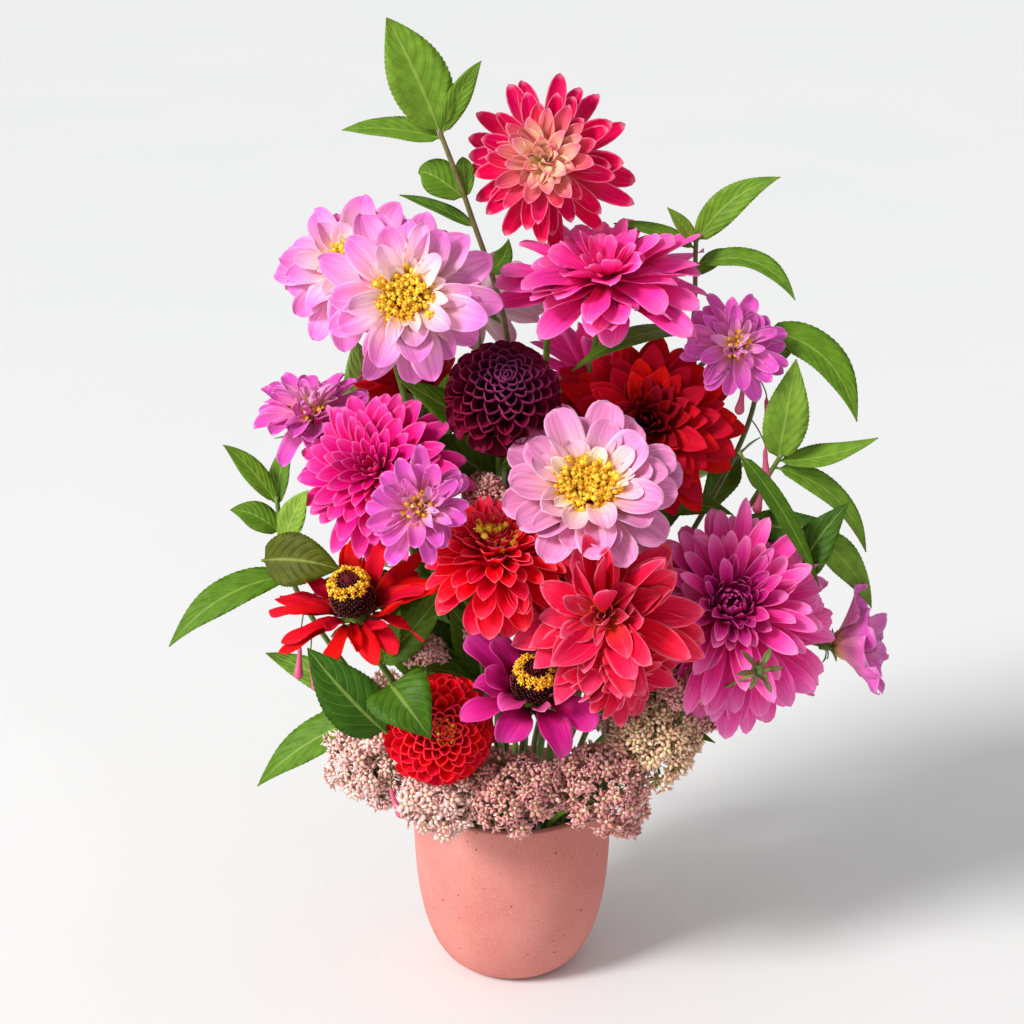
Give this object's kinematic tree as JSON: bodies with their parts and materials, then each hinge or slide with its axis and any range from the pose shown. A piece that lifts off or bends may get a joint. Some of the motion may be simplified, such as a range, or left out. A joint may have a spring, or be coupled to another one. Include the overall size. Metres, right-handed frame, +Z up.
{
  "type": "zinnia and dahlia bouquet in a vase",
  "caption": "Mixed bouquet of zinnias, dahlias, cosmos, stonecrop and leafy stems standing in a round tapered ceramic vase with water.",
  "frame": {"origin": "centre of the vase's flat foot, on the surface that it stands on", "axes": "+Z up out of the vase's mouth, -Y towards the bouquet's front, +X to the right seen from the front"},
  "size_m": [0.4171, 0.2481, 0.588],
  "materials": {
    "petals_crimson": "matte",
    "petals_lilac": "matte",
    "petals_magenta": "matte",
    "petals_maroon": "matte",
    "petals_red": "matte",
    "petals_blush": "matte",
    "petals_pink": "matte",
    "petals_orchid": "matte",
    "petals_coral": "matte",
    "petals_salmon": "matte",
    "petals_purple": "matte",
    "petals_scarlet": "matte",
    "petals_plum": "matte",
    "petals_poppy": "matte",
    "petals_pale": "matte",
    "florets_yellow": "matte",
    "cone_brown": "matte",
    "stem": "satin",
    "leaf": "satin",
    "stonecrop_pink": "matte",
    "stonecrop_cream": "matte",
    "water": "gloss",
    "vase": "matte"
  },
  "bodies": {
    "root": {"crimson_dahlia": "petals_crimson", "lilac_dahlia_front": "petals_lilac", "lilac_dahlia_back": "petals_lilac", "magenta_dahlia": "petals_magenta", "maroon_pompon": "petals_maroon", "red_dahlia": "petals_red", "blush_dahlia": "petals_blush", "pink_dahlia": "petals_pink", "orchid_dahlia_front": "petals_orchid", "orchid_dahlia_left": "petals_orchid", "coral_ball_dahlia": "petals_coral", "coral_dahlia": "petals_salmon", "purple_dahlia": "petals_purple", "red_zinnia": "petals_scarlet", "magenta_zinnia": "petals_plum", "red_pompon": "petals_poppy", "orchid_dahlia_right": "petals_orchid", "cosmos": "petals_orchid", "red_dahlia_back": "petals_red", "pale_dahlia_back": "petals_pale", "plum_dahlia_back": "petals_magenta", "lilac_dahlia_front_disc": "florets_yellow", "lilac_dahlia_back_disc": "florets_yellow", "blush_dahlia_disc": "florets_yellow", "red_zinnia_cone": "cone_brown", "red_zinnia_ring": "florets_yellow", "magenta_zinnia_cone": "cone_brown", "magenta_zinnia_ring": "florets_yellow", "crimson_stem": "stem", "lilac_stem": "stem", "magenta_stem": "stem", "maroon_stem": "stem", "red_stem": "stem", "pink_stem": "stem", "blush_stem": "stem", "coral_ball_stem": "stem", "coral_stem": "stem", "purple_stem": "stem", "red_zinnia_stem": "stem", "magenta_zinnia_stem": "stem", "red_pompon_stem": "stem", "leafy_stem_top": "leaf", "leafy_stem_top_right": "leaf", "leafy_stem_right_arch": "leaf", "leafy_stem_right": "leaf", "leafy_stem_left": "leaf", "leafy_stem_lower_left": "leaf", "leafy_stem_back_left": "leaf", "leafy_stem_back_right": "leaf", "stonecrop_left": "stonecrop_pink", "stonecrop_front_left": "stonecrop_pink", "stonecrop_front": "stonecrop_pink", "stonecrop_front_right": "stonecrop_pink", "stonecrop_cream": "stonecrop_cream", "stonecrop_right": "stonecrop_pink", "stonecrop_back_left": "stonecrop_pink", "stonecrop_back": "stonecrop_pink", "stonecrop_back_right": "stonecrop_pink", "water": "water", "vase": "vase"}
  },
  "joints": []
}
